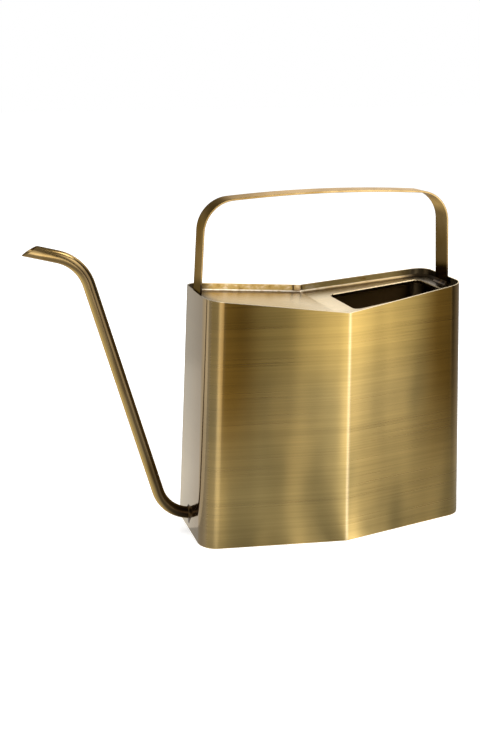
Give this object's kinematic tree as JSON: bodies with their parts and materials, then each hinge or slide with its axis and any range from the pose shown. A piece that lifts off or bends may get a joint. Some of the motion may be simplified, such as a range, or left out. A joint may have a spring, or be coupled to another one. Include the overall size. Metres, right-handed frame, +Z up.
{
  "type": "watering can",
  "caption": "Tapered indoor watering can in brushed brass with shallow folds, a thin bent spout, a sunk top with a fill opening and a flat strap handle.",
  "frame": {"origin": "centre of the flat base, on its underside", "axes": "+X along the can's length, away from the spout; the spout leaves towards -X; +Y towards the back fold; +Z up"},
  "size_m": [0.3531, 0.1208, 0.274],
  "materials": {
    "brushed_brass": "antique brass, brushed along the length of the can, with a clear coat",
    "pale_brass": "pale antique brass, finely brushed",
    "tube_brass": "smooth bronze-toned brass, satin",
    "pale_solder": "bright wiped solder fillet",
    "dark_solder": "dark heat-tinted solder"
  },
  "bodies": {
    "root": {"body_wall": "brushed_brass", "base_plate": "brushed_brass", "top_plate": "pale_brass", "plate_solder": "pale_solder", "seam_strip": "pale_brass", "spout": "tube_brass", "spout_solder": "dark_solder", "handle": "tube_brass", "handle_solder": "dark_solder"}
  },
  "joints": []
}
